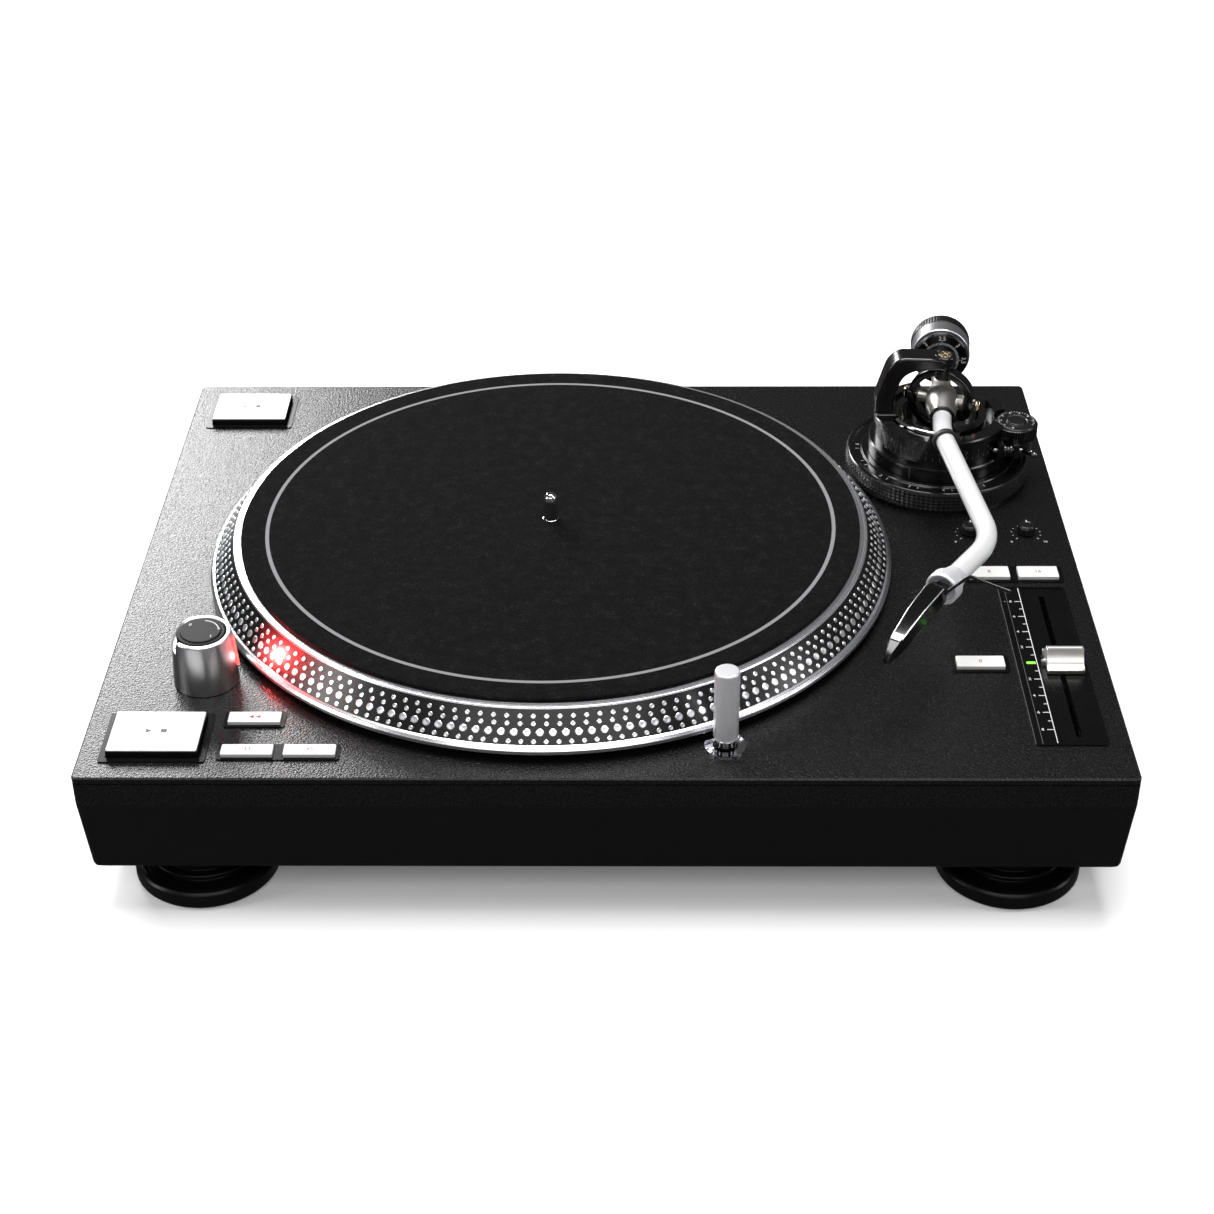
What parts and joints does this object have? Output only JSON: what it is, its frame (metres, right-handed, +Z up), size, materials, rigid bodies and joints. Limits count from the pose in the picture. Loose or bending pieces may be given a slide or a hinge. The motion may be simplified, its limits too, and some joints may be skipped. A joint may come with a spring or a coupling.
{
  "type": "record player turntable",
  "caption": "Direct-drive record player with a strobe-dot platter, slipmat, S-shaped tonearm with counterweight, pitch fader, push buttons and pop-up light.",
  "frame": {"origin": "centre of the casing on the surface that the feet stand on", "axes": "+X to the right along the front edge, +Y to the back, +Z up"},
  "size_m": [0.458, 0.354, 0.1445],
  "materials": {
    "black_cast": "fine textured black paint",
    "base_black": "matte moulded black",
    "black_plastic": "satin moulded black",
    "gloss_black": "gloss black",
    "foot_rubber": "matte rubber",
    "platter_metal": "cast aluminium, black cone with polished dots",
    "steel": "turned steel",
    "chrome": "polished",
    "silver": "satin anodised",
    "black_anodised": "knurled black anodised",
    "black_metal": "semi-gloss black enamel",
    "felt": "black felt with a light printed ring",
    "magnet": "ferrite",
    "copper": "copper winding",
    "board": "circuit board",
    "button_white": "white cap with printed legend",
    "red_lens": "clear red",
    "gold": "gilt",
    "tube_white": "pearl lacquer",
    "nylon": "nylon"
  },
  "bodies": {
    "plinth": {"top_plate": "black_cast", "base_tub": "base_black", "bottom_cover": "black_metal", "cover_screws": "steel", "phono_sockets": "gold", "power_inlet": "black_plastic", "power_board": "board", "power_transformer": "copper", "motor_board": "board", "stator_core": "steel", "stator_coils": "copper", "bearing_sleeve": "steel", "button_bezels": "black_plastic", "control_boards": "board", "fader_panel": "black_plastic", "fader_body": "black_metal", "strobe_tower": "silver", "strobe_lamp": "red_lens", "target_light_guide": "chrome", "arm_socket": "black_metal"},
    "platter": {"platter": "platter_metal", "spindle": "chrome", "rotor_magnet": "magnet"},
    "slipmat": {"slipmat": "felt"},
    "power_knob": {"power_knob": "black_plastic"},
    "target_light": {"target_light": "silver"},
    "pitch_fader": {"pitch_fader_knob": "silver"},
    "torque_knob": {"torque_knob": "black_plastic"},
    "brake_knob": {"brake_knob": "black_plastic"},
    "height_ring": {"height_ring": "black_anodised"},
    "arm_base": {"arm_base": "black_metal", "yoke": "black_metal", "yoke_pivot_screw": "gold"},
    "antiskate_knob": {"antiskate_knob": "black_plastic"},
    "cue_lever": {"cue_lever": "chrome"},
    "lift_platform": {"lift_platform": "chrome"},
    "rest_latch": {"rest_latch": "black_plastic"},
    "gimbal": {"gimbal_ring": "black_metal", "gimbal_screws": "gold"},
    "arm": {"pivot_housing": "silver", "arm_tube": "tube_white", "cartridge": "gloss_black", "stylus": "black_plastic", "finger_lift": "black_metal"},
    "locking_collar": {"locking_collar": "silver"},
    "weight_bush": {"weight_bush": "nylon"},
    "counterweight": {"counterweight": "silver"},
    "force_dial": {"force_dial": "gloss_black"},
    "start_stop_front_button": {"start_stop_front_button": "button_white"},
    "start_stop_rear_button": {"start_stop_rear_button": "button_white"},
    "reverse_button": {"reverse_button": "button_white"},
    "speed_33_button": {"speed_33_button": "button_white"},
    "speed_45_button": {"speed_45_button": "button_white"},
    "pitch_8_button": {"pitch_8_button": "button_white"},
    "pitch_16_button": {"pitch_16_button": "button_white"},
    "reset_button": {"reset_button": "button_white"},
    "foot_front_left": {"foot_front_left": "foot_rubber"},
    "foot_front_right": {"foot_front_right": "foot_rubber"},
    "foot_rear_left": {"foot_rear_left": "foot_rubber"},
    "foot_rear_right": {"foot_rear_right": "foot_rubber"}
  },
  "joints": [
    {"name": "platter_spin", "type": "hinge", "parent": "plinth", "child": "platter", "pos_m": [-0.028, 0, 0.0765], "axis": [0, 0, 1], "continuous": true},
    {"name": "slipmat_slip", "type": "hinge", "parent": "platter", "child": "slipmat", "pos_m": [-0.028, 0, 0.0765], "axis": [0, 0, 1], "continuous": true},
    {"name": "start_stop_front_button_press", "type": "slide", "parent": "plinth", "child": "start_stop_front_button", "axis": [0, 0, 1], "range_m": [-0.0012, 0], "stiffness_N_per_m": 400},
    {"name": "start_stop_rear_button_press", "type": "slide", "parent": "plinth", "child": "start_stop_rear_button", "axis": [0, 0, 1], "range_m": [-0.0012, 0], "stiffness_N_per_m": 400},
    {"name": "reverse_button_press", "type": "slide", "parent": "plinth", "child": "reverse_button", "axis": [0, 0, 1], "range_m": [-0.0012, 0], "stiffness_N_per_m": 400},
    {"name": "speed_33_button_press", "type": "slide", "parent": "plinth", "child": "speed_33_button", "axis": [0, 0, 1], "range_m": [-0.0012, 0], "stiffness_N_per_m": 400},
    {"name": "speed_45_button_press", "type": "slide", "parent": "plinth", "child": "speed_45_button", "axis": [0, 0, 1], "range_m": [-0.0012, 0], "stiffness_N_per_m": 400},
    {"name": "pitch_8_button_press", "type": "slide", "parent": "plinth", "child": "pitch_8_button", "axis": [0, 0, 1], "range_m": [-0.0012, 0], "stiffness_N_per_m": 400},
    {"name": "pitch_16_button_press", "type": "slide", "parent": "plinth", "child": "pitch_16_button", "axis": [0, 0, 1], "range_m": [-0.0012, 0], "stiffness_N_per_m": 400},
    {"name": "reset_button_press", "type": "slide", "parent": "plinth", "child": "reset_button", "axis": [0, 0, 1], "range_m": [-0.0012, 0], "stiffness_N_per_m": 400},
    {"name": "power_knob_turn", "type": "hinge", "parent": "plinth", "child": "power_knob", "pos_m": [-0.1818, -0.104, 0.0765], "axis": [0, 0, 1], "range_deg": [0, 40]},
    {"name": "target_light_pop", "type": "slide", "parent": "plinth", "child": "target_light", "axis": [0, 0, 1], "range_m": [-0.036, 0]},
    {"name": "pitch_fader_slide", "type": "slide", "parent": "plinth", "child": "pitch_fader", "axis": [0, 1, 0], "range_m": [-0.0505, 0.0505]},
    {"name": "torque_knob_turn", "type": "hinge", "parent": "plinth", "child": "torque_knob", "pos_m": [0.1805, 0.0213, 0.0765], "axis": [0, 0, 1], "range_deg": [-135, 135]},
    {"name": "brake_knob_turn", "type": "hinge", "parent": "plinth", "child": "brake_knob", "pos_m": [0.2084, 0.0213, 0.0765], "axis": [0, 0, 1], "range_deg": [-135, 135]},
    {"name": "foot_front_left_turn", "type": "hinge", "parent": "plinth", "child": "foot_front_left", "pos_m": [-0.1825, -0.1425, 0.0765], "axis": [0, 0, 1], "continuous": true},
    {"name": "foot_front_right_turn", "type": "hinge", "parent": "plinth", "child": "foot_front_right", "pos_m": [0.1825, -0.1425, 0.0765], "axis": [0, 0, 1], "continuous": true},
    {"name": "foot_rear_left_turn", "type": "hinge", "parent": "plinth", "child": "foot_rear_left", "pos_m": [-0.1825, 0.1425, 0.0765], "axis": [0, 0, 1], "continuous": true},
    {"name": "foot_rear_right_turn", "type": "hinge", "parent": "plinth", "child": "foot_rear_right", "pos_m": [0.1825, 0.1425, 0.0765], "axis": [0, 0, 1], "continuous": true},
    {"name": "height_ring_turn", "type": "hinge", "parent": "plinth", "child": "height_ring", "pos_m": [0.1703, 0.0845, 0.0765], "axis": [0, 0, 1], "range_deg": [0, 180]},
    {"name": "arm_base_rise", "type": "slide", "parent": "plinth", "child": "arm_base", "axis": [0, 0, 1], "range_m": [0, 0.006]},
    {"name": "antiskate_turn", "type": "hinge", "parent": "arm_base", "child": "antiskate_knob", "pos_m": [0.2085, 0.078, 0.0765], "axis": [0, 0, 1], "range_deg": [0, 270]},
    {"name": "cue_lever_lift", "type": "hinge", "parent": "arm_base", "child": "cue_lever", "pos_m": [0.1973, 0.0625, 0.1003], "axis": [1, 0, 0], "range_deg": [0, 55]},
    {"name": "lift_platform_drop", "type": "slide", "parent": "arm_base", "child": "lift_platform", "axis": [0, 0, 1], "range_m": [-0.0045, 0]},
    {"name": "rest_latch_close", "type": "hinge", "parent": "arm_base", "child": "rest_latch", "pos_m": [0.17416, 0.05317, 0.1194], "axis": [0, 1, 0], "range_deg": [-105, 0]},
    {"name": "arm_swing", "type": "hinge", "parent": "arm_base", "child": "gimbal", "pos_m": [0.1703, 0.0845, 0.1185], "axis": [0, 0, 1], "range_deg": [-40, 0]},
    {"name": "arm_lift", "type": "hinge", "parent": "gimbal", "child": "arm", "pos_m": [0.1703, 0.0845, 0.1185], "axis": [-0.9063, 0.4226, 0], "range_deg": [-2.5, 10]},
    {"name": "collar_lock", "type": "hinge", "parent": "arm", "child": "locking_collar", "pos_m": [0.15229, -0.09384, 0.12205], "axis": [-0.5518, -0.8337, 0.0207], "range_deg": [0, 90]},
    {"name": "weight_shift", "type": "slide", "parent": "arm", "child": "weight_bush", "axis": [0.1044, 0.9943, -0.0198], "range_m": [-0.002, 0.002]},
    {"name": "weight_turn", "type": "hinge", "parent": "weight_bush", "child": "counterweight", "pos_m": [0.175, 0.12924, 0.11761], "axis": [0.1044, 0.9943, -0.0198], "range_deg": [-360, 360]},
    {"name": "force_dial_turn", "type": "hinge", "parent": "counterweight", "child": "force_dial", "pos_m": [0.175, 0.12924, 0.11761], "axis": [0.1044, 0.9943, -0.0198], "continuous": true}
  ],
  "couplings": [
    {"joint": "height_ring_turn", "follows": "arm_base_rise", "rad_per_m": 523.59},
    {"joint": "cue_lever_lift", "follows": "lift_platform_drop", "rad_per_m": -213.31},
    {"joint": "weight_shift", "follows": "weight_turn", "m_per_rad": 0.00031831}
  ]
}
